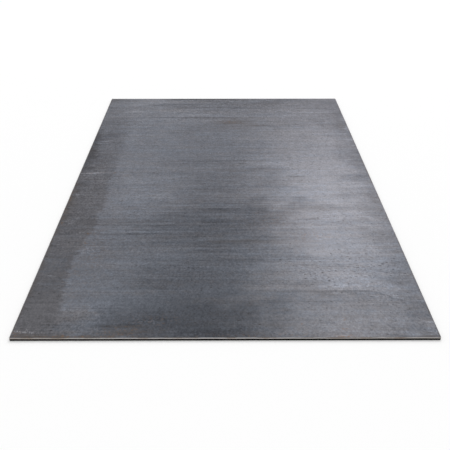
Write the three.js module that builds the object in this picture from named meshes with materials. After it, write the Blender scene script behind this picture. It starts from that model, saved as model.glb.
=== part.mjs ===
// Hot-rolled steel plate: one flat piece of raw stock, lying on its underside.
// All four sides were trimmed on a guillotine, blade side up, so every edge has
// the zones of a sheared cut: the rollover where the blade pulled the top face
// down, the burnished land that it wiped smooth, the fracture that leans back
// under the land, and a small bevel where the burr was filed off the underside.
//
// Millimetres, +Z up. The origin is the middle of the underside: X runs across
// the width, Y along the length.
import * as THREE from "three";
import { toCreasedNormals } from "three/addons/utils/BufferGeometryUtils.js";

// The plate, measured over the burnished lands as a steel yard measures it.
const PLATE_WIDTH = 1000;
const PLATE_LENGTH = 2000;
const PLATE_THICKNESS = 8;
const CORNER_RADIUS = 3; // sharp corners taken off with a file

// The sheared edge: a reach is measured inwards from the land, a drop downwards.
const ROLLOVER_REACH = 1.1;
const ROLLOVER_DROP = 0.7;
const LAND_HEIGHT = 2;
const FRACTURE_LEAN = 0.5;
const DEBURR_BEVEL = 0.3;

// Facets of the curved stretches.
const ROLLOVER_STEPS = 8;
const FRACTURE_STEPS = 6;
const CORNER_STEPS = 8;

const CREASE_ANGLE = THREE.MathUtils.degToRad(25);

// The edge's section from the top face down to the underside: x is the inset
// from the land, y the height above the underside.
function edgeSection() {
  const landTop = PLATE_THICKNESS - ROLLOVER_DROP;
  const landFoot = landTop - LAND_HEIGHT;

  const rollover = new THREE.EllipseCurve(
    ROLLOVER_REACH,
    landTop,
    ROLLOVER_REACH,
    ROLLOVER_DROP,
    Math.PI / 2,
    Math.PI,
  );
  // The crack starts straight down the land and turns in as it opens.
  const fracture = new THREE.QuadraticBezierCurve(
    new THREE.Vector2(0, landFoot),
    new THREE.Vector2(0, (landFoot + DEBURR_BEVEL) / 2),
    new THREE.Vector2(FRACTURE_LEAN, DEBURR_BEVEL),
  );
  const bevelFoot = new THREE.Vector2(FRACTURE_LEAN + DEBURR_BEVEL, 0);

  return [
    ...rollover.getPoints(ROLLOVER_STEPS),
    ...fracture.getPoints(FRACTURE_STEPS),
    bevelFoot,
  ];
}

// The plate's outline in plan, moved in by the inset. The corner arcs keep their
// centres, so every outline has the same points in the same order.
function outline(inset) {
  const cornerX = PLATE_WIDTH / 2 - CORNER_RADIUS;
  const cornerY = PLATE_LENGTH / 2 - CORNER_RADIUS;
  const radius = CORNER_RADIUS - inset;
  const quarter = Math.PI / 2;
  const corners = [
    [cornerX, cornerY],
    [-cornerX, cornerY],
    [-cornerX, -cornerY],
    [cornerX, -cornerY],
  ];
  return corners.flatMap(([x, y], turn) => {
    const start = turn * quarter;
    const arc = new THREE.EllipseCurve(x, y, radius, radius, start, start + quarter);
    return arc.getPoints(CORNER_STEPS);
  });
}

// One closed solid through a stack of outlines, the first on top: a band of
// faces from each outline to the next, and a flat cap at either end.
function loftDown(section) {
  const rings = section.map((point) => outline(point.x));
  const count = rings[0].length;
  const positions = rings.flatMap((ring, level) =>
    ring.flatMap((point) => [point.x, point.y, section[level].y]),
  );

  const faces = [];
  for (let upper = 0; upper < (rings.length - 1) * count; upper += count) {
    const lower = upper + count;
    for (let i = 0; i < count; i++) {
      const next = (i + 1) % count;
      faces.push(upper + i, lower + i, lower + next);
      faces.push(upper + i, lower + next, upper + next);
    }
  }
  const last = (rings.length - 1) * count;
  for (const [a, b, c] of THREE.ShapeUtils.triangulateShape(rings[0], [])) {
    faces.push(a, b, c);
    faces.push(last + c, last + b, last + a);
  }

  const geometry = new THREE.BufferGeometry();
  geometry.setAttribute("position", new THREE.Float32BufferAttribute(positions, 3));
  geometry.setIndex(faces);
  return geometry;
}

function steelPlate() {
  const millScale = new THREE.MeshStandardMaterial({
    color: 0x73757c,
    roughness: 0.45,
    metalness: 0.6,
  });
  const geometry = toCreasedNormals(loftDown(edgeSection()), CREASE_ANGLE);
  const plate = new THREE.Mesh(geometry, millScale);
  plate.name = "steel_plate";
  return plate;
}

const part = new THREE.Group();
part.add(steelPlate());

export default part;
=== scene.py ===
"""A hot-rolled steel plate: its mill scale, its sheared edges and the studio it is shown in.

Metres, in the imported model's frame: X runs across the plate's width, Y along its length and
Z up from the floor that it lies on.
"""
import math
from typing import NamedTuple

import bpy
import numpy as np
from bpy.props import FloatProperty, FloatVectorProperty, PointerProperty
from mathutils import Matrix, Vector, noise


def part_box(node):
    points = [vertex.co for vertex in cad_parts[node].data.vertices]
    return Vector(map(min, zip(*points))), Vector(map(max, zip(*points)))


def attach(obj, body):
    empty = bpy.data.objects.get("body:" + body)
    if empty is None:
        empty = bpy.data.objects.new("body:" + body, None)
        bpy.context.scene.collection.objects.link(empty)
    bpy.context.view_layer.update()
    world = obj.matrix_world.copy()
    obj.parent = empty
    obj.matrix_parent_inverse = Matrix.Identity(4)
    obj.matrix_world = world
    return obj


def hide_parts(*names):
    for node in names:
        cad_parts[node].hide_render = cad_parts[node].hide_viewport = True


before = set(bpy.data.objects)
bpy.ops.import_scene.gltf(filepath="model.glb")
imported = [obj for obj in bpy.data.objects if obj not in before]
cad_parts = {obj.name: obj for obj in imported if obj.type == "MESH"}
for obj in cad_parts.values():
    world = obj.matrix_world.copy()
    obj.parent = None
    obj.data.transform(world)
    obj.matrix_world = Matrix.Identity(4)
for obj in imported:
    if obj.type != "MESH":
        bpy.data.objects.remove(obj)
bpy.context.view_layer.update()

bl_info = {
    "name": "Steel Plate",
    "version": (1, 0, 0),
    "blender": (4, 5, 0),
    "location": "3D View > Sidebar > Steel Plate",
    "description": "Makes a hot-rolled steel plate with sheared edges, and a studio to show it in",
    "category": "Add Mesh",
}

PLATE = "steel_plate"
PLATE_LOW, PLATE_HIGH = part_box(PLATE)
WIDTH, LENGTH, THICKNESS = PLATE_HIGH - PLATE_LOW


# ---- settings

def length_setting(name, description, default):
    """A size in metres that a user can change."""
    return FloatProperty(
        name=name, description=description, default=default, min=0.0, unit="LENGTH", precision=5)


class EdgeSettings(bpy.types.PropertyGroup):
    """The sheared edge. A reach is measured inwards from the burnished land, a drop downwards."""

    corner_radius: length_setting("Corner radius", "Radius of the filed corners in plan", 0.003)
    rollover_reach: length_setting("Rollover reach", "How far in the top was pulled down", 0.0011)
    rollover_drop: length_setting("Rollover drop", "How far down the top was pulled", 0.0007)
    land_height: length_setting("Land height", "Height of the band that the blade wiped", 0.002)
    fracture_lean: length_setting("Fracture lean", "How far the torn band leans in", 0.0005)
    bevel: length_setting("Bevel", "Size of the filed bevel along the underside", 0.0003)
    tear_depth: length_setting("Tear depth", "Depth of the torn band's roughness", 0.00025)
    waviness: length_setting("Waviness", "How far the rolled faces are from flat", 0.0001)
    column_pitch: length_setting("Column pitch", "Spacing of the edge's vertices", 0.002)


def colour_setting(name, description, red, green, blue):
    """A colour that a user can change."""
    return FloatVectorProperty(
        name=name, description=description, default=(red, green, blue, 1), size=4,
        min=0.0, max=1.0, subtype="COLOR")


class FinishSettings(bpy.types.PropertyGroup):
    """The colours of the metal."""

    blue_scale: colour_setting("Blue scale", "Fresh mill scale", 0.1615, 0.1750, 0.2038)
    worn_scale: colour_setting("Worn scale", "Mill scale rubbed to grey", 0.1727, 0.1718, 0.1848)
    stain: colour_setting("Stain", "Mill scale that has browned", 0.112, 0.099, 0.091)
    rust: colour_setting("Rust", "Specks of rust", 0.180, 0.120, 0.080)
    pit: colour_setting("Pit", "The small pits of the top face", 0.035, 0.030, 0.030)
    bare: colour_setting("Bare steel", "The burnished land of the cut", 0.45, 0.436, 0.425)
    tarnished: colour_setting("Tarnished", "Browner stretches of the land", 0.33, 0.280, 0.245)
    # Nearly black: the torn face is darker than the land, and this colour also paints the shade on
    # the cut's lower band
    fracture: colour_setting("Fracture", "The torn face under the land", 0.004, 0.004, 0.004)
    tear: colour_setting("Tear", "The crests of the torn face", 0.020, 0.018, 0.016)


class StudioSettings(bpy.types.PropertyGroup):
    """The camera, the lamps and the floor."""

    camera_place: FloatVectorProperty(
        name="Camera place", description="Where the camera stands",
        default=(-0.006, -2.661, 1.048), subtype="TRANSLATION")
    camera_turn: FloatVectorProperty(
        name="Camera turn", description="The camera's rotation",
        default=tuple(map(math.radians, (65.59, 0.01, -0.19))), subtype="EULER")
    lens: FloatProperty(
        name="Lens", description="Focal length on a sensor 36 mm wide",
        default=67.22, unit="CAMERA")
    floor_size: length_setting("Floor size", "Side of the square floor", 60.0)
    floor_colour: colour_setting("Floor colour", "The paint of the floor", 0.97, 0.97, 0.97)
    floor_glow: FloatProperty(
        name="Floor glow", description="Share of the floor's white that no shadow reaches",
        default=0.25, min=0.0, max=1.0, subtype="FACTOR")
    sky_strength: FloatProperty(
        name="Sky strength", description="Strength of the soft light from all round", default=0.6)
    lamp_strength: FloatProperty(
        name="Lamp strength", description="Strength of the large softbox behind the plate",
        default=1.68)
    lamp_spread: FloatProperty(
        name="Lamp spread", description="How wide the softbox looks from the plate",
        default=math.radians(50), subtype="ANGLE")
    lamp_turn: FloatVectorProperty(
        name="Lamp turn", description="The softbox's rotation from straight overhead",
        default=tuple(map(math.radians, (-40, 12, 0))), subtype="EULER")
    strip_place: FloatVectorProperty(
        name="Strip place", description="Where the strip lamp stands",
        default=(1.6, 7.0, 3.4), subtype="TRANSLATION")
    strip_size: FloatVectorProperty(
        name="Strip size", description="Width and height of the strip lamp",
        default=(1.4, 2.0), size=2, unit="LENGTH")
    strip_power: FloatProperty(
        name="Strip power", description="Power of the strip lamp that puts a sheen on the plate",
        default=34.0, unit="POWER")


# ---- shader expressions

class Wire:
    """A shader socket in a Python expression: each operator adds the Math node for it."""

    def __init__(self, sheet, socket):
        self.sheet = sheet
        self.socket = socket

    def math(self, operation, *values):
        """What a Math node makes of the values."""
        return self.sheet.node("ShaderNodeMath", {"operation": operation}, dict(enumerate(values)))

    def __add__(self, other):
        return self.math("ADD", self, other)

    def __sub__(self, other):
        return self.math("SUBTRACT", self, other)

    def __rsub__(self, other):
        return self.math("SUBTRACT", other, self)

    def __mul__(self, other):
        return self.math("MULTIPLY", self, other)

    def __truediv__(self, other):
        return self.math("DIVIDE", self, other)

    def __pow__(self, other):
        return self.math("POWER", self, other)

    def __abs__(self):
        return self.math("ABSOLUTE", self)

    def greater(self, other):
        return self.math("MAXIMUM", self, other)

    __radd__ = __add__
    __rmul__ = __mul__


class Slope(NamedTuple):
    """A change that comes in smoothly as a value goes from its start to its end."""

    name: str
    start: float
    end: float
    change: float = 1.0


# The sockets of a Mix node for colours, which lie among those for other types of data.
MIX_FACTOR, MIX_FIRST, MIX_SECOND = 0, 6, 7
MIX_RESULT = 2


class Sheet:
    """The node tree of one material or world, filled by calls to node()."""

    def __init__(self, owner):
        owner.use_nodes = True
        self.tree = owner.node_tree
        self.tree.nodes.clear()

    def node(self, kind, settings=None, inputs=None, output=0):
        """Adds a node, its settings first and then the values or links of its inputs, and gives
        the wire from the output."""
        made = self.tree.nodes.new(kind)
        for name, value in (settings or {}).items():
            setattr(made, name, value)
        for key, value in (inputs or {}).items():
            if isinstance(value, Wire):
                self.tree.links.new(value.socket, made.inputs[key])
            else:
                made.inputs[key].default_value = value
        if made.outputs:
            return Wire(self, made.outputs[output])

    def rise(self, value, low, high, top=1.0, label=""):
        """0 at low, top at high and a smooth step between them."""
        return self.node(
            "ShaderNodeMapRange", {"interpolation_type": "SMOOTHSTEP", "label": label},
            {"Value": value, "From Min": low, "From Max": high, "To Max": top})

    def slope(self, value, *slopes):
        """What the slopes add at the value."""
        return sum(
            self.rise(value, slope.start, slope.end, slope.change, slope.name)
            for slope in slopes)

    def blend(self, factor, first, second):
        """The first colour where factor is 0 and the second where it is 1."""
        return self.node(
            "ShaderNodeMix", {"data_type": "RGBA"},
            {MIX_FACTOR: factor, MIX_FIRST: first, MIX_SECOND: second}, MIX_RESULT)

    def vector(self, operation, *values, output="Vector"):
        """What a Vector Math node makes of the values."""
        return self.node(
            "ShaderNodeVectorMath", {"operation": operation}, dict(enumerate(values)), output)


# ---- the plate's mesh

GRID_CELL = 0.02  # size of the grid's cells on a rolled face
GRID_MARGIN = 0.01  # the grid ends this far inside the land
GUARD = 0.001  # width of the flat strip that keeps the edge's shading off the rolled faces
ARC_STEPS = 8  # steps round a filed corner
ROLLOVER_ROWS = 6  # rows of faces down each band of the edge
LAND_ROWS = 3
FRACTURE_ROWS = 6
SHARP_ANGLE = math.radians(35)  # edges that turn by more than this are shaded as sharp


class Wander(NamedTuple):
    """How a size of the edge changes along it: by what share, over what distance, and a seed."""

    share: float
    distance: float
    seed: float


DROP_WANDER = Wander(0.12, 0.07, 1)
LAND_WANDER = Wander(0.22, 0.045, 2)
LAND_RIPPLE = Wander(0.10, 0.009, 3)
REACH_WANDER = Wander(0.18, 0.06, 4)
TEAR_GRAIN = Wander(0.40, 0.004, 10)
TEAR_SWELL = Wander(0.10, 0.03, 30)
TEAR_MEAN = 0.5  # share of its depth that the tear has on average
TEAR_DRIFT = 0.8  # how much the grain changes from row to row
TEAR_AT_FOOT = 0.2  # the tear shallows to this at the foot of the fracture
TEAR_GROWTH = 3.0  # how fast it comes back above that, for each height of the fracture
DIP_SIZE = 0.35  # size of the dips of the rolled faces
TOP_SEED = 5
UNDERSIDE_SEED = 6

# The bake's layout, in shares of the image: the plate's length along u, and up v the top face,
# the underside, the two long edges and the two short ones.
MAP_MARGIN = 0.008
MAP_METRE = 0.49  # a metre of the plate
MAP_UNDERSIDE = 0.36  # the underside's width, squeezed a little
MAP_EDGE = 0.03  # an edge's height, much enlarged
MAP_BANDS = ((0, 0), (2, 0), (1, 0), (2, 1))  # for each side, the band it is in and where in it
MAP_NAME = "OFBake"


def ragged(x, y, size, seed):
    """Smooth noise from -1 to 1 with features of about this size."""
    return noise.noise(Vector((x / size, y / size, seed)))


class Outline:
    """The plate's outline in plan at the land: points, their outward normals and sides, and how
    far along its side each one is."""

    def __init__(self, edge):
        self.points, self.normals, self.sides, self.runs = [], [], [], []
        self.grid_lines = []  # for each side, the indices of the points that face a grid line
        radius = edge.corner_radius
        for side in range(4):
            turn = side * math.pi / 2
            normal = np.array((round(math.cos(turn)), round(math.sin(turn))))
            tangent = np.array((-normal[1], normal[0]))
            reach, half = (WIDTH / 2, LENGTH / 2) if side % 2 == 0 else (LENGTH / 2, WIDTH / 2)
            stations, lines = self.stations(half, radius, edge.column_pitch)
            self.grid_lines.append([len(self.points) + i for i in lines])
            for station in stations:
                self.add(normal * reach + tangent * station, normal, side, station + half)
            centre = normal * (reach - radius) + tangent * (half - radius)
            for step in range(1, ARC_STEPS):
                angle = step / ARC_STEPS * math.pi / 2
                out = normal * math.cos(angle) + tangent * math.sin(angle)
                self.add(centre + out * radius, out, side, 2 * half - radius + angle * radius)
        self.points = np.array(self.points)
        self.normals = np.array(self.normals)

    def add(self, point, normal, side, run):
        self.points.append(point)
        self.normals.append(normal)
        self.sides.append(side)
        self.runs.append(run)

    @staticmethod
    def stations(half, radius, pitch):
        """Places along a side between its corner arcs, and which of them meet the grid's lines."""
        per_cell = round(GRID_CELL / pitch)
        inner = grid_places(half, per_cell)
        ends = max(1, round((GRID_MARGIN - radius) / pitch))
        before = np.linspace(radius - half, GRID_MARGIN - half, ends, endpoint=False)
        stations = np.concatenate((before, inner, -before[::-1]))
        return stations, range(ends, ends + len(inner), per_cell)


def grid_places(half, per_cell=1):
    """Where the grid's lines lie along a side, given half of it, in this many steps per cell."""
    cells = round(2 * (half - GRID_MARGIN) / GRID_CELL)
    return np.linspace(GRID_MARGIN - half, half - GRID_MARGIN, cells * per_cell + 1)


def edge_rows(edge, outline):
    """The sheared edge as rows from the top down: (inset from the land, height) per column."""
    columns = len(outline.points)

    def along(wander, drift=0.0):
        """The wander at each column: a drift moves it on to other noise."""
        noises = [ragged(x, y, wander.distance, wander.seed + drift) for x, y in outline.points]
        return wander.share * np.array(noises)

    land_top = THICKNESS - edge.rollover_drop * (1 + along(DROP_WANDER))
    land_foot = land_top - edge.land_height * (1 + along(LAND_WANDER) + along(LAND_RIPPLE))
    reach = edge.rollover_reach * (1 + along(REACH_WANDER))

    rows = [(reach + GUARD, np.full(columns, THICKNESS))]
    for row in range(ROLLOVER_ROWS + 1):
        angle = math.pi / 2 * (1 + row / ROLLOVER_ROWS)
        height = land_top + (THICKNESS - land_top) * math.sin(angle)
        rows.append((reach * (1 + math.cos(angle)), height))
    for row in range(1, LAND_ROWS + 1):
        share = row / LAND_ROWS
        rows.append((np.zeros(columns), land_top + (land_foot - land_top) * share))
    for row in range(1, FRACTURE_ROWS + 1):
        share = row / FRACTURE_ROWS
        tear = TEAR_MEAN + along(TEAR_GRAIN, TEAR_DRIFT * row) + along(TEAR_SWELL, row)
        shallow = min(1.0, TEAR_AT_FOOT + TEAR_GROWTH * (1 - share))
        inset = edge.fracture_lean * share ** 2 + edge.tear_depth * tear.clip(0, 1) * shallow
        rows.append((inset, land_foot + (edge.bevel - land_foot) * share))
    foot = edge.fracture_lean + edge.bevel
    rows.append((np.full(columns, foot), np.zeros(columns)))
    rows.append((np.full(columns, foot + GUARD), np.zeros(columns)))
    return rows


class PlateMesh:
    """Gathers the plate's vertices and faces, and each face corner's place on the bake's map."""

    def __init__(self):
        self.vertices, self.faces, self.places, self.on_edge = [], [], [], []

    def add_vertices(self, vertices):
        """Adds the vertices and gives the number of the first."""
        first = len(self.vertices)
        self.vertices.extend(map(tuple, vertices))
        return first

    def add_face(self, corners, places, on_edge=False):
        """Adds a face, with its corners' places on the map."""
        self.faces.append(corners)
        self.places.extend(places)
        self.on_edge.append(on_edge)

    def add_rolled_face(self, outline, ring, height, dip, seed, place, up=True):
        """A rolled face: a grid with slight dips, and the fans of triangles that join it to the
        ring of vertices round it."""
        xs, ys = grid_places(WIDTH / 2), grid_places(LENGTH / 2)
        last_x, last_y = len(xs) - 1, len(ys) - 1
        first = self.add_vertices(
            (x, y, height + dip * (1 + ragged(x, y, DIP_SIZE, seed)) / 2) for y in ys for x in xs)

        def at(i, j):
            return first + j * len(xs) + i

        def add(corners):
            corners = corners if up else corners[::-1]
            self.add_face(corners, [place(*self.vertices[corner][:2]) for corner in corners])

        for j in range(last_y):
            for i in range(last_x):
                add([at(i, j), at(i + 1, j), at(i + 1, j + 1), at(i, j + 1)])
        borders = (
            [at(last_x, j) for j in range(last_y + 1)],
            [at(i, last_y) for i in range(last_x, -1, -1)],
            [at(0, j) for j in range(last_y, -1, -1)],
            [at(i, 0) for i in range(last_x + 1)],
        )
        total = len(outline.points)

        def fan(corner, start, stop):
            """Triangles from a corner of the grid to the ring's points from start to stop."""
            for k in range(start, stop):
                add([corner, ring + k % total, ring + (k + 1) % total])

        for side, border in enumerate(borders):
            lines = outline.grid_lines[side]
            for i in range(len(border) - 1):
                middle = (lines[i] + lines[i + 1]) // 2
                fan(border[i], lines[i], middle)
                add([border[i + 1], border[i], ring + middle])
                fan(border[i + 1], middle, lines[i + 1])
            next_line = outline.grid_lines[(side + 1) % len(borders)][0]
            fan(border[-1], lines[-1], lines[-1] + (next_line - lines[-1]) % total)


def edge_place(side, run, share):
    """Where an edge's point goes on the map: share is 0 at its top row and 1 at its foot."""
    band, turn = MAP_BANDS[side]
    u = MAP_MARGIN + MAP_METRE * run + turn * (MAP_METRE * WIDTH + 2 * MAP_MARGIN)
    v = 2 * MAP_MARGIN + MAP_METRE * WIDTH + MAP_MARGIN + MAP_UNDERSIDE + MAP_MARGIN
    v += band * (MAP_EDGE + MAP_MARGIN) + (1 - share) * MAP_EDGE
    return u, v


def top_place(x, y):
    """Where a point of the top face goes on the map."""
    return MAP_MARGIN + MAP_METRE * (y + LENGTH / 2), MAP_MARGIN + MAP_METRE * (x + WIDTH / 2)


def underside_place(x, y):
    """Where a point of the underside goes on the map."""
    u, _ = top_place(x, y)
    return u, 2 * MAP_MARGIN + MAP_METRE * WIDTH + MAP_UNDERSIDE * (x / WIDTH + 0.5)


def plate_mesh(edge):
    """The whole plate as one closed mesh with a map for the bake."""
    outline = Outline(edge)
    build = PlateMesh()
    rows = edge_rows(edge, outline)
    total = len(outline.points)
    rings = []
    for inset, height in rows:
        flat = outline.points - outline.normals * inset[:, None]
        rings.append(build.add_vertices(np.column_stack((flat, height))))

    last = len(rows) - 1
    for row in range(last):
        for k in range(total):
            after = (k + 1) % total
            side, run = outline.sides[k], outline.runs[k]
            step = outline.points[after] - outline.points[k]
            next_run = run + float(np.hypot(*step))
            upper, lower = rings[row], rings[row + 1]
            corners = [upper + k, lower + k, lower + after, upper + after]
            places = [
                edge_place(side, run, row / last),
                edge_place(side, run, (row + 1) / last),
                edge_place(side, next_run, (row + 1) / last),
                edge_place(side, next_run, row / last),
            ]
            build.add_face(corners, places, on_edge=True)

    build.add_rolled_face(outline, rings[0], THICKNESS, -edge.waviness, TOP_SEED, top_place)
    build.add_rolled_face(
        outline, rings[-1], 0.0, edge.waviness, UNDERSIDE_SEED, underside_place, up=False)

    mesh = bpy.data.meshes.new(PLATE + "_rolled")
    mesh.from_pydata(build.vertices, [], build.faces)
    layer = mesh.uv_layers.new(name=MAP_NAME)
    layer.uv.foreach_set("vector", np.array(build.places, np.float32).ravel())
    mesh.polygons.foreach_set("use_smooth", np.ones(len(build.faces), bool))
    mesh.polygons.foreach_set("material_index", np.array(build.on_edge, np.int32))
    mesh.set_sharp_from_angle(angle=SHARP_ANGLE)
    mesh.update()
    return mesh


# ---- finishes

GAMMA = 2.2  # a change of tone is as the eye sees it, and this turns it into reflected light
TONE = 0.45  # the tone of plain mill scale
NOISE_GAIN = 2.2  # brings the noise to about -1 to 1
SEED_STEP = Vector((7.3, 3.1, 1.7))  # how far apart two patterns are in the noise
TOP_FACE = Slope("top face, and not the underside", 0.003, 0.005)

# How far the rolled texture pulls the borders of areas and marks about.
FINGER_PULL = 0.012
WOBBLE_PULL = 0.03
CLUMP_PULL = 0.004
MARK_WOBBLE = 0.003
MARK_CLUMPS = 0.001

# How much each pattern of the rolled texture is in the tone.
LINES_TONE = 0.011
STREAKS_TONE = 0.003
BROAD_TONE = 0.007
CLUMPS_TONE = 0.003
GRAIN_TONE = 0.0025
GRIT_TONE = 0.020
FAR_GRAIN = Slope("grain, stronger to the far end", -0.9, 0.3, 0.007)
FAR_CONTRAST = Slope("texture, stronger to the far end", -0.9, 0.3, 0.2)
SHEAF_THREADS = Slope("threads that show in a sheaf", -0.5, 0.8)
SCUFF_FLECKS = Slope("flecks that show in a scuff", 0.0, 1.2)
SCUFF_GRIT = 0.8

# The coil's old edge: a dark band down the left side of the top face.
BAND_EDGE = -0.384
BAND_TURNS = (
    Slope("turns out at its near part", -0.30, -0.62, -0.030),
    Slope("turns in at its near end", -0.84, -0.94, 0.025),
    Slope("turns out at its far end", 0.5, 0.9, -0.045),
)
BAND_WOBBLE = 0.005
BAND_FINGERS = 0.006
BAND_SHARPNESS = 0.006
BAND_SOFTNESS = (
    Slope("softer at its far end", 0.0, 0.6, 0.03),
    Slope("softer at its near end", -0.84, -0.96, 0.05),
)
BAND_FADING = (
    Slope("fades past the middle", -0.14, 0.06, 0.35),
    Slope("fades more to the far end", 0.3, 0.9, 0.25),
)
BAND_CHANGE = -0.055
BAND_WEAR = Slope("greyer but for its far end", 0.6, 0.0, 0.5)
BAND_ROUGHNESS = 0.05

# The ledge across the near right, where the plate lay under another. It is laid out by x, and by
# how much nearer than the ledge a point is.
LEDGE = -0.771
LEDGE_FALL = Slope("turns to the near end at the right", 0.36, 0.46, 0.058)
LEDGE_WOBBLE = 0.003
LEDGE_FINGERS = 0.002
LEDGE_START = Slope("comes in from the left", 0.10, 0.32)
LEDGE_START_WOBBLE = 0.02
LEDGE_END = Slope("fainter at the right", 0.36, 0.44, -0.5)
LEDGE_STEP = Slope("step", -0.002, 0.004)
LEDGE_SHADES = (
    Slope("duller metal, which fades out", 0.16, 0.03),
    Slope("dark line along the step", 0.025, 0.0),
)
LEDGE_CHANGE = -0.042

# Rust and wear.
RIM = Slope("brown rim along the two long sides", 0.006, 0.001)
RIM_BLOTCHES = Slope("blotches of the rim", -1.0, 0.8)
BROWN_THREADS = Slope("threads that show in a browned area", -1.2, 0.4)
BROWN_STRENGTH = 0.7
BROWN_ROUGHNESS = 0.1
RUST_SPECKS = Slope("specks of rust", 0.55, 1.0)
RUST_STRENGTH = 0.7
WORN_CAST = 0.16
WORN_SPECKLE = 0.16
WORN_LINES = 0.05
PIT_LEVEL = 1.30  # only the highest parts of their noise are pits
PIT_BROAD = 0.20
PIT_SOFTNESS = 0.3
PIT_STRENGTH = 0.75

# Sheen and relief.
ROUGHNESS = 0.36
POLISH = 0.008
TORN_ROUGHNESS = 0.2
METALLIC = 0.85
SPECULAR_LEVEL = 0.3
LOW_ANGLE_TINT = (0.45, 0.45, 0.47, 1)
BUMP_STRENGTH = 0.3
LINE_RELIEF = 0.3
GRAIN_RELIEF = 0.5
PIT_RELIEF = 2.0
SCALE_RELIEF = 0.0001  # height of the mill scale's relief
CUT_RELIEF = 0.0002  # height of the torn face's relief

# The sheared edge's bands.
BORDER_WANDER = 0.0002
BORDER_SOFTNESS = 0.0002
ROLLOVER_BROWN = Slope("brown stretches of the rollover", -0.6, 1.0, 0.8)
LAND_STRETCHES = Slope("tarnished stretches of the land", 0.2, 1.2, 0.6)
LAND_SIDES = (
    Slope("duller to the right", 0.2, 0.5, 0.35),
    Slope("browner to the left", -0.3, -0.48, 0.6),
)
TEAR_CRESTS = Slope("crests of the torn face", -0.8, 0.8)


class Patch(NamedTuple):
    """An area of the top face with a soft edge, and how much it changes there."""

    name: str
    x: float
    y: float
    reach_x: float
    reach_y: float
    change: float


def patches(*rows):
    """A table of patches, one for each row."""
    return tuple(Patch(*row) for row in rows)


# Changes of tone over areas whose borders the texture pulls about. Most are the scale's own tone.
# The bright patches down the right side are painted sheen: a lamp's reflection painted into the
# colour, on top of the strip lamp's real sheen.
SHADES = patches(
    ("pale far left", -0.34, 1.0, 0.34, 0.55, 0.074),
    ("pale run inside the coil edge", -0.26, 0.35, 0.26, 0.9, 0.045),
    ("pale cloud by the coil edge", -0.28, -0.12, 0.2, 0.16, 0.025),
    ("trough deepening to the near end", -0.03, -1.1, 0.33, 1.25, -0.105),
    ("dark pool at the near end", -0.1, -1.02, 0.42, 0.3, -0.066),
    ("dull middle", 0.04, 0.0, 0.2, 0.14, -0.024),
    ("dark streaks in the middle", 0.0, -0.36, 0.32, 0.24, -0.056),
    # painted sheen: a lamp's reflection painted into the colour
    ("painted sheen down the right", 0.27, -0.1, 0.26, 0.75, 0.052),
    ("dull streaks right of the middle", 0.13, -0.26, 0.18, 0.14, -0.04),
    # painted sheen
    ("painted sheen on the far part", 0.22, 0.48, 0.3, 0.45, 0.022),
    # painted sheen
    ("painted sheen on the near right", 0.36, -0.72, 0.14, 0.12, 0.016),
    ("dull far right corner", 0.32, 1.08, 0.36, 0.26, -0.055),
    ("dark far right rim", 0.54, 0.5, 0.2, 0.85, -0.095),
    ("dark near right rim", 0.55, -0.32, 0.16, 0.6, -0.054),
    ("pale far middle", -0.02, 0.72, 0.32, 0.18, 0.034),
    ("pale far end on the left", -0.26, 1.0, 0.14, 0.06, 0.05),
    ("dull left part", -0.28, -0.46, 0.26, 0.14, -0.022),
    ("pale strip past the coil edge", -0.385, 0.46, 0.11, 0.2, 0.036),
    ("pale strip nearer", -0.335, 0.03, 0.065, 0.12, 0.032),
    ("dull far right side", 0.48, 0.84, 0.14, 0.3, -0.024),
    ("pale corner", 0.487, -0.955, 0.04, 0.05, 0.04),
    # painted sheen
    ("painted sheen above the ledge", 0.33, -0.742, 0.13, 0.04, 0.02),
    ("dark patch by the near rim", -0.25, -0.965, 0.14, 0.045, -0.05),
    ("dark patch beyond it", -0.18, -0.9, 0.14, 0.06, -0.026),
    # painted sheen
    ("painted sheen nearer on the right", 0.32, -0.54, 0.15, 0.11, 0.02),
    # painted sheen
    ("painted sheen left above the ledge", 0.2, -0.73, 0.12, 0.05, 0.016),
    ("dull run beyond the middle", 0.06, -0.07, 0.26, 0.08, -0.024),
    ("dull spot right of the middle", 0.16, -0.222, 0.13, 0.075, -0.056),
    ("dull far left end", -0.22, 0.88, 0.13, 0.1, -0.032),
    ("dull far right part", 0.35, 0.45, 0.09, 0.09, -0.026),
    ("pale run before the stain", -0.13, 0.64, 0.3, 0.06, 0.018),
    ("pale far left part", -0.3, 0.68, 0.16, 0.14, 0.014),
    ("pale left part", -0.34, 0.21, 0.1, 0.16, 0.018),
    ("pale spot left of the middle", -0.15, -0.15, 0.09, 0.06, 0.018),
    ("pale spot before the ledge", 0.25, -0.775, 0.12, 0.05, 0.016),
    ("dull near right part", 0.36, -0.95, 0.12, 0.06, -0.012),
    # painted sheen
    ("painted sheen on the right side", 0.36, -0.16, 0.2, 0.15, 0.014),
    ("dull band nearer", -0.45, -0.74, 0.08, 0.1, -0.016),
    ("dull spot in the near left", -0.25, -0.85, 0.1, 0.06, -0.018),
    ("pale spot beyond the middle", 0.13, 0.15, 0.15, 0.09, 0.03),
    ("pale far end", 0.0, 0.955, 0.16, 0.05, 0.034),
    ("dull rim right of the middle", 0.47, -0.26, 0.09, 0.14, -0.018),
    ("dull near left", -0.375, -0.975, 0.1, 0.07, -0.03),
    ("dull near right rim", 0.5, -0.84, 0.07, 0.16, -0.03),
    ("dark near middle", -0.08, -0.68, 0.2, 0.14, -0.02),
    ("pale far left rim", -0.47, 0.75, 0.1, 0.32, 0.024),
    ("pale right rim beyond the middle", 0.48, 0.45, 0.1, 0.26, 0.022),
    # painted sheen
    ("painted sheen on the right part", 0.41, -0.5, 0.12, 0.1, 0.02),
    ("dull spot in the pool", 0.0, -0.85, 0.14, 0.07, -0.024),
    ("pale near rim in the middle", 0.0, -0.965, 0.16, 0.05, 0.024),
    ("dull right rim before the ledge", 0.478, -0.66, 0.06, 0.2, -0.034),
    ("dull right rim beyond the middle", 0.5, 0.26, 0.06, 0.14, -0.024),
)

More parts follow.
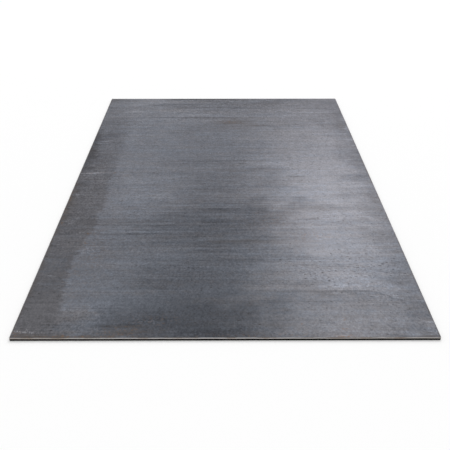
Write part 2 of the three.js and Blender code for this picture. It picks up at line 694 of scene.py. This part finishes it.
# Thin marks and streaks, which it hardly pulls about along the plate's length.
MARKS = patches(
    ("dark left rim", -0.5, 0.32, 0.048, 0.34, -0.12),
    ("dark nearer left rim", -0.5, -0.22, 0.026, 0.3, -0.025),
    ("dark rim by the near left corner", -0.5, -0.82, 0.012, 0.16, -0.04),
    ("dark blotch on the left rim", -0.485, -0.035, 0.034, 0.03, -0.08),
    ("second dark blotch", -0.488, -0.235, 0.026, 0.03, -0.04),
    ("third dark blotch", -0.485, -0.105, 0.026, 0.02, -0.035),
    ("fourth dark blotch", -0.487, -0.3, 0.028, 0.03, -0.045),
    ("fifth dark blotch", -0.49, -0.505, 0.03, 0.035, -0.055),
    ("dark spot in the near left", -0.285, -0.948, 0.024, 0.016, -0.06),
    ("dark streak right of it", -0.232, -0.942, 0.065, 0.022, -0.045),
    ("dark streak past that", -0.185, -0.92, 0.05, 0.018, -0.04),
    ("pale fleck on the far right rim", 0.49, 0.69, 0.022, 0.034, 0.11),
    ("second fleck on that rim", 0.492, 0.565, 0.026, 0.04, 0.15),
    ("third fleck on that rim", 0.47, 0.5, 0.022, 0.014, 0.08),
    ("fourth fleck on that rim", 0.485, 0.425, 0.034, 0.013, 0.085),
    ("fifth fleck on that rim", 0.488, 0.355, 0.03, 0.014, 0.085),
    ("dark blotch beyond them", 0.48, 0.768, 0.024, 0.04, -0.05),
    ("dark blotch beside them", 0.468, 0.595, 0.018, 0.03, -0.012),
    ("second blotch beside them", 0.46, 0.46, 0.026, 0.012, -0.05),
    ("dark blotch on the right rim", 0.478, -0.15, 0.022, 0.014, -0.02),
    ("second blotch on that rim", 0.484, -0.215, 0.026, 0.018, -0.02),
    ("dark spot beyond the scrape", -0.472, 0.112, 0.034, 0.03, -0.06),
    ("scrape by the coil edge", -0.437, 0.069, 0.07, 0.011, 0.15),
    ("fainter scrape before it", -0.44, -0.005, 0.05, 0.008, 0.05),
    ("second scrape", -0.44, 0.414, 0.05, 0.012, 0.08),
    ("third scrape", -0.47, 0.5, 0.05, 0.012, 0.04),
    ("dark line before the third scrape", -0.44, 0.475, 0.04, 0.01, -0.04),
    ("pale line on the far part", -0.12, 0.75, 0.28, 0.018, 0.06),
    ("pale spot beyond it", -0.37, 0.798, 0.06, 0.018, 0.09),
    ("pale spot at the far left", -0.37, 0.905, 0.07, 0.03, 0.06),
    ("pale line left of it", -0.22, 0.82, 0.16, 0.016, 0.04),
    ("dark line on the far part", -0.12, 0.712, 0.34, 0.014, -0.07),
    ("dark line near the far end", 0.1, 0.85, 0.34, 0.014, -0.04),
    ("second line near the far end", 0.14, 0.945, 0.3, 0.014, -0.03),
    ("dark line left of the far end", -0.24, 0.905, 0.2, 0.014, -0.026),
    ("dark line at the far end", -0.11, 0.989, 0.27, 0.03, -0.11),
    ("dark line left of it", -0.2, 0.99, 0.1, 0.03, -0.08),
    ("dark line at the far rim", 0.16, 0.996, 0.22, 0.014, -0.06),
    ("line across the middle", -0.02, 0.12, 0.34, 0.008, 0.05),
    ("line at the coil edge", -0.33, -0.515, 0.13, 0.007, 0.045),
    ("dark fleck in the far part", 0.072, 0.16, 0.03, 0.009, -0.11),
    ("brown streak on the right", 0.245, 0.034, 0.036, 0.01, -0.06),
    ("brown streak farther right", 0.225, 0.226, 0.05, 0.016, -0.04),
    ("brown streak nearer", 0.268, -0.324, 0.044, 0.008, -0.03),
    ("dull streak right of the middle", 0.13, -0.222, 0.12, 0.022, -0.045),
    ("dark streak left of the middle", -0.176, -0.374, 0.09, 0.014, -0.042),
    ("dark streak farther left", -0.258, -0.43, 0.06, 0.016, -0.045),
    ("dark streak nearer the middle", -0.05, -0.549, 0.11, 0.014, -0.034),
    ("blotch under the ledge", 0.265, -0.792, 0.036, 0.014, -0.045),
    ("second fleck in the far part", -0.02, 0.44, 0.025, 0.008, -0.08),
    ("line under the ledge", 0.26, -0.778, 0.14, 0.005, -0.014),
    # painted shade: the rollover's shading along the near right rim, painted into the top face's
    # colour
    ("painted rollover shade at the near right rim", 0.44, -0.994, 0.12, 0.009, -0.09),
)

# Sheaves of dark lines, each a streak with many threads.
SHEAVES = patches(
    ("middle", 0.0, -0.245, 0.11, 0.03, -0.05),
    ("right of the middle", 0.14, -0.268, 0.13, 0.06, -0.028),
    ("left of the middle", -0.12, -0.325, 0.26, 0.04, -0.055),
    ("second left of the middle", -0.2, -0.372, 0.18, 0.02, -0.06),
    ("third left of the middle", -0.24, -0.428, 0.16, 0.024, -0.06),
    ("under the middle", 0.03, -0.34, 0.18, 0.02, -0.03),
    ("under that", 0.03, -0.412, 0.2, 0.022, -0.03),
    ("brown one", -0.02, -0.492, 0.14, 0.022, -0.03),
    ("nearer", -0.05, -0.546, 0.14, 0.02, -0.05),
    ("nearer still", 0.02, -0.6, 0.28, 0.014, -0.04),
    ("beyond the middle", -0.05, 0.06, 0.26, 0.05, -0.055),
    ("far middle", -0.02, 0.2, 0.22, 0.06, -0.045),
    ("right side", 0.28, -0.62, 0.18, 0.06, -0.04),
    ("second on the right side", 0.3, -0.355, 0.18, 0.03, -0.04),
    ("far right", 0.26, 0.62, 0.26, 0.05, -0.02),
    ("far left", -0.22, 0.87, 0.24, 0.06, -0.05),
    ("far end", 0.16, 0.93, 0.26, 0.03, -0.04),
)

# Pale scuffs, broken into flecks.
SCUFFS = patches(
    ("scuff above the ledge", 0.33, -0.757, 0.09, 0.024, 0.04),
    ("second scuff above the ledge", 0.4, -0.75, 0.07, 0.03, 0.04),
    ("scuff past the ledge", 0.42, -0.805, 0.07, 0.02, 0.05),
    ("fleck at the near left corner", -0.487, -0.97, 0.026, 0.014, 0.21),
    ("scratch beside it", -0.458, -0.975, 0.03, 0.01, 0.15),
    ("scuff at the coil edge", -0.388, -0.87, 0.03, 0.024, 0.05),
    ("farther scuff at the coil edge", -0.39, -0.545, 0.04, 0.04, 0.07),
    ("flecks at the coil edge", -0.413, -0.74, 0.015, 0.04, 0.08),
    ("strokes in the band", -0.452, -0.694, 0.024, 0.01, 0.09),
    ("scuff in the near left", -0.175, -0.928, 0.03, 0.018, 0.08),
    ("scuff at the near right corner", 0.482, -0.925, 0.022, 0.02, 0.06),
    ("scuff nearer the corner", 0.488, -0.975, 0.02, 0.014, 0.06),
    ("scuff on the left rim", -0.478, -0.14, 0.024, 0.03, 0.06),
    ("scuff nearer on it", -0.462, -0.35, 0.032, 0.04, 0.06),
    ("scuff past that", -0.445, -0.425, 0.045, 0.022, 0.06),
    ("flecks on the left rim", -0.48, 0.45, 0.02, 0.25, 0.05),
)

# Where the scale has browned.
BROWNED = patches(
    ("water stain", 0.05, 0.645, 0.14, 0.052, 1.1),
    ("tail of the stain", 0.14, 0.606, 0.08, 0.024, 0.8),
    ("near left corner", -0.455, -0.994, 0.08, 0.022, 1.2),
    ("near rim on the left", -0.35, -0.998, 0.17, 0.015, 1.3),
    ("near rim past it", -0.25, -0.98, 0.14, 0.036, 0.6),
    ("smear above that", -0.235, -0.945, 0.09, 0.016, 0.7),
    ("left rim", -0.5, -0.2, 0.042, 0.34, 1.0),
    ("left rim nearer", -0.5, -0.68, 0.02, 0.36, 0.9),
    ("left rim farther", -0.5, 0.36, 0.045, 0.36, 0.6),
    ("far left corner", -0.49, 1.0, 0.06, 0.08, 0.8),
    ("near right corner", 0.47, -0.992, 0.06, 0.03, 1.2),
    ("far right rim", 0.472, 0.58, 0.024, 0.2, 0.35),
    ("right rim", 0.482, -0.19, 0.03, 0.1, 0.4),
    ("brown streak on the right", 0.245, 0.034, 0.05, 0.016, 0.7),
    ("brown streak nearer", 0.268, -0.324, 0.06, 0.014, 0.6),
    ("brown sheaf", 0.02, -0.482, 0.2, 0.022, 0.5),
    ("brown streaks in the middle", 0.16, -0.27, 0.13, 0.11, 0.28),
    ("brown streaks on the right", 0.3, -0.24, 0.2, 0.03, 0.4),
    ("brown streak beyond the middle", 0.1, 0.1, 0.2, 0.03, 0.4),
    ("spot under the ledge", 0.27, -0.795, 0.04, 0.018, 0.6),
    ("streak at the coil edge", -0.375, -0.428, 0.05, 0.012, 0.6),
)

# Where rust has broken through, in specks.
RUSTY = patches(
    ("near left corner", -0.49, -0.985, 0.04, 0.024, 1.0),
    ("near rim on the left", -0.35, -0.996, 0.18, 0.012, 1.4),
    ("patch by the near rim", -0.245, -0.972, 0.12, 0.036, 0.6),
    ("spots above that", -0.17, -0.925, 0.14, 0.05, 0.4),
    ("spot at the near right", 0.28, -0.918, 0.012, 0.01, 3.0),
    ("spot nearer the rim", 0.282, -0.963, 0.012, 0.01, 3.0),
    ("spot at the rim", 0.283, -0.992, 0.02, 0.01, 3.0),
    ("spot left of them", 0.184, -0.945, 0.012, 0.01, 3.0),
    ("spots at the near rim", 0.15, -0.99, 0.4, 0.012, 0.5),
    ("left rim", -0.497, -0.22, 0.016, 0.34, 1.3),
    ("middle", 0.14, -0.34, 0.2, 0.16, 0.3),
    ("right", 0.25, -0.45, 0.12, 0.05, 0.7),
    ("stain", 0.02, 0.655, 0.06, 0.03, 1.5),
    ("end of the scrape", -0.382, 0.066, 0.016, 0.014, 2.5),
    ("scrape", -0.44, 0.07, 0.07, 0.014, 0.8),
    ("left part", -0.38, -0.6, 0.1, 0.4, 0.35),
    ("streak at the coil edge", -0.385, -0.428, 0.03, 0.014, 1.6),
    ("spots nearer on it", -0.39, -0.494, 0.026, 0.014, 1.6),
)

# How far the blue is rubbed to a neutral grey, and where it is more or less so.
WORN = 0.45
RUBS = patches(
    ("far end", 0.0, 1.0, 0.75, 0.6, 0.25),
    ("right side", 0.38, 0.2, 0.36, 1.2, 0.45),
    ("right of the middle", 0.2, -0.45, 0.3, 0.6, 0.24),
    ("right of the far middle", 0.18, 0.55, 0.2, 0.5, 0.18),
    ("near right", 0.3, -0.98, 0.34, 0.34, 0.45),
    ("blue right rim", 0.46, -0.72, 0.12, 0.3, -0.08),
    ("blue near end", -0.1, -0.8, 0.42, 0.8, -0.3),
    ("near left corner", -0.48, -0.95, 0.22, 0.26, 0.85),
    ("blue pool at the near end", -0.17, -0.9, 0.22, 0.13, -0.5),
    ("blue run by the coil edge", -0.3, -0.82, 0.14, 0.18, -0.25),
    ("grey right rim", 0.5, -0.35, 0.14, 0.35, 0.16),
    ("grey far right corner", 0.45, 0.9, 0.2, 0.3, 0.2),
    ("grey run right of the middle", 0.15, -0.72, 0.12, 0.16, 0.2),
    ("blue far left", -0.35, 0.5, 0.12, 0.3, -0.15),
    ("blue middle", 0.0, -0.32, 0.16, 0.13, -0.24),
    ("blue far middle", -0.05, 0.3, 0.12, 0.16, -0.18),
    ("blue rim beyond the middle", 0.47, 0.1, 0.1, 0.15, -0.3),
    ("grey far left corner", -0.46, 0.95, 0.12, 0.14, 0.2),
    ("grey rim by the scrape", -0.46, 0.1, 0.08, 0.14, 0.2),
    ("grey right part", 0.26, 0.28, 0.12, 0.14, 0.15),
)

# Where the streaks are stronger or fainter than elsewhere.
STREAKINESS = patches(
    ("streaky middle", 0.0, -0.36, 0.5, 0.44, 0.75),
    ("calm near end", 0.0, -1.02, 0.8, 0.48, -0.5),
    ("calm right side", 0.46, 0.1, 0.24, 0.6, -0.6),
    ("calm bright run", 0.32, -0.55, 0.22, 0.34, -0.5),
)
PITTED = Patch("pitted right half", 0.35, -0.4, 0.4, 0.75, 0.15)

# Where the texture is stronger or fainter than elsewhere.
CONTRASTS = patches(
    ("smooth pool at the near end", 0.04, -0.86, 0.44, 0.2, -0.3),
    ("smooth bright run", 0.34, -0.22, 0.4, 0.75, -0.42),
    ("rough far end", 0.0, 0.95, 0.6, 0.55, 0.9),
    ("rough far left", -0.42, 0.6, 0.22, 0.45, 0.35),
    ("smooth right part", 0.24, -0.5, 0.18, 0.16, -0.2),
    ("rough coil edge", -0.46, -0.05, 0.12, 0.55, 0.5),
    ("rough near left", -0.33, -0.95, 0.22, 0.14, 0.4),
    ("smooth near coil edge", -0.46, -0.8, 0.14, 0.26, -0.3),
    ("rough near right", 0.34, -0.95, 0.26, 0.1, 0.2),
)


class PlateSheet(Sheet):
    """A finish of the plate, laid out by where a point is on it."""

    def __init__(self, owner):
        super().__init__(owner)
        self.place = self.node("ShaderNodeTexCoord", output="Object")
        self.x, self.y, self.z = (
            self.node("ShaderNodeSeparateXYZ", None, {0: self.place}, output=axis)
            for axis in "XYZ")
        self.top = self.slope(self.z, TOP_FACE)

    def cloud(self, size, seed, detail=2.0, roughness=0.6):
        """Noise about 0 and mostly within 1 of it, whose largest features have this size along
        X, Y and Z."""
        scaled = self.vector("DIVIDE", self.place, size)
        shifted = self.vector("ADD", scaled, SEED_STEP * seed)
        noise_value = self.node(
            "ShaderNodeTexNoise", {"normalize": False},
            {"Vector": shifted, "Scale": 1.0, "Detail": detail, "Roughness": roughness})
        return noise_value * NOISE_GAIN

    def spot(self, x, y):
        """A place on the face, for lay()."""
        return self.node("ShaderNodeCombineXYZ", None, {"X": x, "Y": y})

    def lay(self, patch, spot):
        """The patch's change at the spot, fading out at its reach."""
        shrink = (1 / patch.reach_x, 1 / patch.reach_y, 0)
        centre = (-patch.x / patch.reach_x, -patch.y / patch.reach_y, 0)
        offset = self.vector("MULTIPLY_ADD", spot, shrink, centre)
        distance = self.vector("LENGTH", offset, output="Value")
        return self.rise(distance, 1, 0, patch.change, patch.name)

    def lay_all(self, table, spot):
        """The changes of all the patches of a table, on the top face only."""
        return sum(self.lay(patch, spot) for patch in table) * self.top


class Weave:
    """The rolled texture, from broad clouds down to grit, and the places that it pulls about."""

    def __init__(self, sheet):
        self.broad = sheet.cloud((0.30, 0.16, 0.02), 5)
        self.wobble = sheet.cloud((0.12, 0.12, 0.02), 7)
        self.fingers = sheet.cloud((0.40, 0.014, 0.02), 6, detail=3.0)
        self.cast = sheet.cloud((0.25, 0.05, 0.02), 15, detail=5.0, roughness=0.8)
        self.streaks = sheet.cloud((0.30, 0.034, 0.02), 2, detail=4.0, roughness=0.7)
        self.clumps = sheet.cloud((0.030, 0.024, 0.02), 3, detail=3.0)
        self.lines = sheet.cloud((0.36, 0.014, 0.02), 1, detail=4.0, roughness=0.9)
        self.threads = sheet.cloud((0.34, 0.020, 0.02), 16, detail=4.0, roughness=0.8)
        self.speckle = sheet.cloud((0.016, 0.014, 0.004), 18, roughness=0.9)
        self.grain = sheet.cloud((0.018, 0.016, 0.004), 4, detail=3.0, roughness=0.95)
        self.grit = sheet.cloud((0.006, 0.010, 0.004), 19, detail=1.0, roughness=1.0)

        fingered = sheet.x + self.fingers * FINGER_PULL
        clumped = self.clumps * CLUMP_PULL
        sway = self.wobble * WOBBLE_PULL
        self.soft = sheet.spot(fingered + sway, sheet.y + sway)
        self.crisp = sheet.spot(
            fingered + clumped, sheet.y + self.wobble * MARK_WOBBLE + self.clumps * MARK_CLUMPS)
        self.close = sheet.spot(sheet.x + clumped, sheet.y + clumped)


def coil_band(sheet, weave):
    """1 in the dark band along the left side."""
    border = BAND_EDGE + sheet.slope(sheet.y, *BAND_TURNS)
    border = border + weave.wobble * BAND_WOBBLE + weave.fingers * BAND_FINGERS
    softness = BAND_SHARPNESS + sheet.slope(sheet.y, *BAND_SOFTNESS)
    band = sheet.rise((sheet.x - border) / softness, 1.0, -1.0)
    return band * (1 - sheet.slope(sheet.y, *BAND_FADING)) * sheet.top


def ledge_change(sheet, weave):
    """The step of tone across the ledge: a dark line, and duller metal on the near side of it."""
    nearer = LEDGE - sheet.slope(sheet.x, LEDGE_FALL) - sheet.y
    nearer = nearer + weave.wobble * LEDGE_WOBBLE + weave.fingers * LEDGE_FINGERS
    start = sheet.slope(sheet.x + weave.wobble * LEDGE_START_WOBBLE, LEDGE_START)
    extent = start + sheet.slope(sheet.x, LEDGE_END)
    shade = sheet.slope(nearer, LEDGE_STEP) * sheet.slope(nearer, *LEDGE_SHADES)
    return shade * extent * sheet.top * LEDGE_CHANGE


def tone_change(sheet, weave, band):
    """How much lighter or darker than plain mill scale a point is, as the eye sees it; painted
    sheen and shade included.
    """
    streaked = weave.lines * LINES_TONE + weave.streaks * STREAKS_TONE + weave.broad * BROAD_TONE
    streaked *= 1 + sheet.lay_all(STREAKINESS, weave.soft)
    grainy = weave.grain * (GRAIN_TONE + sheet.slope(sheet.y, FAR_GRAIN))
    texture = streaked + grainy + weave.clumps * CLUMPS_TONE + weave.grit * GRIT_TONE
    contrast = 1 + sheet.slope(sheet.y, FAR_CONTRAST) + sheet.lay_all(CONTRASTS, weave.soft)

    threads = sheet.slope(weave.threads, SHEAF_THREADS)
    flecks = sheet.slope(weave.grain + weave.grit * SCUFF_GRIT, SCUFF_FLECKS)
    change = sheet.lay_all(SHADES, weave.soft) + sheet.lay_all(MARKS, weave.crisp)
    change += sheet.lay_all(SHEAVES, weave.crisp) * threads
    change += sheet.lay_all(SCUFFS, weave.crisp) * flecks
    change = change + band * BAND_CHANGE + ledge_change(sheet, weave)
    return change + texture * contrast


def worn_share(sheet, weave, band):
    """How far the blue of the mill scale is rubbed to grey."""
    worn = WORN + sheet.lay_all(RUBS, weave.soft) + band * sheet.slope(sheet.y, BAND_WEAR)
    return worn - weave.cast * WORN_CAST - weave.speckle * WORN_SPECKLE - weave.lines * WORN_LINES


def brown_share(sheet, weave):
    """How far the mill scale has browned, in areas and along the rim."""
    areas = sheet.lay_all(BROWNED, weave.close) * sheet.slope(weave.threads, BROWN_THREADS)
    blotches = sheet.slope(weave.wobble + weave.clumps, RIM_BLOTCHES)
    return areas + sheet.slope(WIDTH / 2 - abs(sheet.x), RIM) * blotches


def pit_share(sheet, weave):
    """1 in the small pits."""
    pits = sheet.cloud((0.012, 0.005, 0.01), 9)
    threshold = PIT_LEVEL - sheet.lay(PITTED, weave.soft) - weave.broad * PIT_BROAD
    return sheet.rise(pits, threshold, threshold + PIT_SOFTNESS)


def rust_share(sheet, weave):
    """How rusty it is, in specks."""
    specks = sheet.cloud((0.007, 0.006, 0.01), 8)
    return sheet.lay_all(RUSTY, weave.close) * sheet.slope(specks, RUST_SPECKS)


def metal(sheet, colour, roughness, relief, height):
    """Closes a finish: a steel with a dull sheen, so the far end doesn't flare at a low angle."""
    normal = sheet.node(
        "ShaderNodeBump", None, {"Strength": BUMP_STRENGTH, "Distance": height, "Height": relief})
    shader = sheet.node(
        "ShaderNodeBsdfPrincipled", None,
        {"Base Color": colour, "Roughness": roughness, "Metallic": METALLIC,
         "Specular IOR Level": SPECULAR_LEVEL, "Specular Tint": LOW_ANGLE_TINT, "Normal": normal})
    sheet.node("ShaderNodeOutputMaterial", None, {"Surface": shader})


def mill_scale(finish):
    """The rolled faces: blue-grey oxide with streaks, worn patches, pits and rust, and painted
    sheen and shade.
    """
    material = bpy.data.materials.new("mill scale")
    sheet = PlateSheet(material)
    weave = Weave(sheet)
    band = coil_band(sheet, weave)
    tint = sheet.blend(worn_share(sheet, weave, band), finish.blue_scale, finish.worn_scale)
    # besides the scale's own tone, this carries painted sheen down the right and a painted
    # rollover shade line
    shade = 1 + tone_change(sheet, weave, band) / TONE
    colour = sheet.vector("MULTIPLY", tint, shade ** GAMMA)

    brown = brown_share(sheet, weave)
    pits = pit_share(sheet, weave)
    rust = rust_share(sheet, weave)
    colour = sheet.blend(brown * BROWN_STRENGTH, colour, finish.stain)
    colour = sheet.blend(pits * PIT_STRENGTH, colour, finish.pit)
    colour = sheet.blend(rust * RUST_STRENGTH, colour, finish.rust)

    polish = (weave.streaks + weave.clumps) * POLISH
    roughness = ROUGHNESS - polish + band * BAND_ROUGHNESS + brown * BROWN_ROUGHNESS
    relief = weave.lines * LINE_RELIEF + weave.grain * GRAIN_RELIEF - pits * PIT_RELIEF
    metal(sheet, colour, roughness, relief, SCALE_RELIEF)
    return material


def sheared_edge(finish, edge):
    """The cut: a bright burnished land over a dark torn fracture, painted nearly black to stand in
    for its shade too.
    """
    material = bpy.data.materials.new("sheared edge")
    sheet = PlateSheet(material)
    along = sheet.cloud((0.05, 0.05, 0.02), 11, detail=3.0)
    tear = sheet.cloud((0.004, 0.004, 0.002), 12, detail=3.0)

    land_top = THICKNESS - edge.rollover_drop
    land_foot = land_top - edge.land_height
    height = sheet.z + along * BORDER_WANDER
    cut = sheet.rise(height, land_top + 2 * BORDER_SOFTNESS, land_top)
    torn = sheet.rise(height, land_foot + BORDER_SOFTNESS, land_foot - BORDER_SOFTNESS)

    rolled = sheet.blend(sheet.slope(along, ROLLOVER_BROWN), finish.worn_scale, finish.stain)
    tarnish = sheet.slope(along, LAND_STRETCHES) + sheet.slope(sheet.x, *LAND_SIDES)
    land = sheet.blend(tarnish, finish.bare, finish.tarnished)
    # the torn band's near-black colour is partly painted shade
    fracture = sheet.blend(sheet.slope(tear, TEAR_CRESTS), finish.fracture, finish.tear)
    colour = sheet.blend(cut, rolled, sheet.blend(torn, land, fracture))
    metal(sheet, colour, ROUGHNESS + torn * TORN_ROUGHNESS, tear * (cut + torn), CUT_RELIEF)
    return material


# ---- operators

WHITE = (1, 1, 1, 1)


def put_in_scene(data):
    """Makes an object of a mesh, a camera or a lamp, under the same name."""
    thing = bpy.data.objects.new(data.name, data)
    bpy.context.scene.collection.objects.link(thing)
    return thing


class STEELPLATE_OT_plate(bpy.types.Operator):
    """Make the plate with its rolled faces and sheared edges"""

    bl_idname = "steel_plate.plate"
    bl_label = "Make the plate"

    def execute(self, context):
        edge, finish = context.scene.steel_plate_edge, context.scene.steel_plate_finish
        mesh = plate_mesh(edge)
        mesh.materials.append(mill_scale(finish))
        mesh.materials.append(sheared_edge(finish, edge))
        plate = put_in_scene(mesh)
        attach(plate, "root")
        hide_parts(PLATE)
        return {"FINISHED"}


class STEELPLATE_OT_studio(bpy.types.Operator):
    """Lay a pale floor, light it softly and set the camera"""

    bl_idname = "steel_plate.studio"
    bl_label = "Set up the studio"

    def execute(self, context):
        scene = context.scene
        studio = scene.steel_plate_studio
        scene.view_settings.view_transform = "Standard"
        camera = put_in_scene(bpy.data.cameras.new("camera"))
        camera.location = studio.camera_place
        camera.rotation_euler = studio.camera_turn
        camera.data.lens = studio.lens
        scene.camera = camera
        self.lay_floor(studio)
        self.light_sky(scene, studio)
        self.hang_lamps(studio)
        return {"FINISHED"}

    @staticmethod
    def seen(sheet):
        """1 for the rays that show white paper: the camera's, and those off metal and glass."""
        camera, glossy, transmission = (
            sheet.node("ShaderNodeLightPath", output=f"Is {name} Ray")
            for name in ("Camera", "Glossy", "Transmission"))
        return camera.greater(glossy).greater(transmission)

    def lay_floor(self, studio):
        """Lays a floor that looks white and keeps the plate's shadow."""
        mesh = bpy.data.meshes.new("floor")
        half = studio.floor_size / 2
        corners = [(-half, -half, 0), (half, -half, 0), (half, half, 0), (-half, half, 0)]
        mesh.from_pydata(corners, [], [(0, 1, 2, 3)])
        material = bpy.data.materials.new("pale floor")
        sheet = Sheet(material)
        paint = sheet.node("ShaderNodeBsdfDiffuse", None, {"Color": studio.floor_colour})
        glow = sheet.node("ShaderNodeEmission", None, {"Color": WHITE, "Strength": 1.0})
        mixed = sheet.node(
            "ShaderNodeMixShader", None,
            {0: self.seen(sheet) * studio.floor_glow, 1: paint, 2: glow})
        sheet.node("ShaderNodeOutputMaterial", None, {"Surface": mixed})
        mesh.materials.append(material)
        floor = put_in_scene(mesh)

    def light_sky(self, scene, studio):
        """Lights the room from all round, and shows it as white."""
        world = bpy.data.worlds.new("white room")
        scene.world = world
        sheet = Sheet(world)
        seen = self.seen(sheet)
        strength = seen + (1 - seen) * studio.sky_strength
        background = sheet.node(
            "ShaderNodeBackground", None, {"Color": WHITE, "Strength": strength})
        sheet.node("ShaderNodeOutputWorld", None, {"Surface": background})

    def hang_lamps(self, studio):
        """Hangs the softbox, and the strip that gives the plate its sheen."""
        softbox = put_in_scene(bpy.data.lights.new("softbox", "SUN"))
        softbox.data.energy = studio.lamp_strength
        softbox.data.angle = studio.lamp_spread
        softbox.rotation_euler = studio.lamp_turn
        softbox.visible_glossy = False
        strip = put_in_scene(bpy.data.lights.new("strip", "AREA"))
        strip.data.energy = studio.strip_power
        strip.data.shape = "RECTANGLE"
        strip.data.size, strip.data.size_y = studio.strip_size
        strip.location = studio.strip_place
        strip.rotation_euler = (-strip.location).to_track_quat("-Z", "Y").to_euler()


class STEELPLATE_PT_sidebar(bpy.types.Panel):
    """The plate's settings, each group over the button that uses it"""

    bl_idname = "STEELPLATE_PT_sidebar"
    bl_label = "Steel plate"
    bl_space_type = "VIEW_3D"
    bl_region_type = "UI"
    bl_category = "Steel plate"

    def draw(self, context):
        scene = context.scene
        groups = (
            ("Sheared edge", scene.steel_plate_edge, None),
            ("Finish", scene.steel_plate_finish, STEELPLATE_OT_plate),
            ("Studio", scene.steel_plate_studio, STEELPLATE_OT_studio),
        )
        for title, settings, operator in groups:
            box = self.layout.box()
            box.label(text=title)
            for name in settings.__annotations__:
                box.prop(settings, name)
            if operator:
                box.operator(operator.bl_idname)


GROUPS = {
    "steel_plate_edge": EdgeSettings,
    "steel_plate_finish": FinishSettings,
    "steel_plate_studio": StudioSettings,
}
CLASSES = (*GROUPS.values(), STEELPLATE_OT_plate, STEELPLATE_OT_studio, STEELPLATE_PT_sidebar)


def register():
    for item in CLASSES:
        bpy.utils.register_class(item)
    for name, group in GROUPS.items():
        setattr(bpy.types.Scene, name, PointerProperty(type=group))


def unregister():
    for name in GROUPS:
        delattr(bpy.types.Scene, name)
    for item in reversed(CLASSES):
        bpy.utils.unregister_class(item)


def main():
    """Makes the plate and its studio."""
    register()
    bpy.ops.steel_plate.plate()
    bpy.ops.steel_plate.studio()


if __name__ == "__main__":
    main()
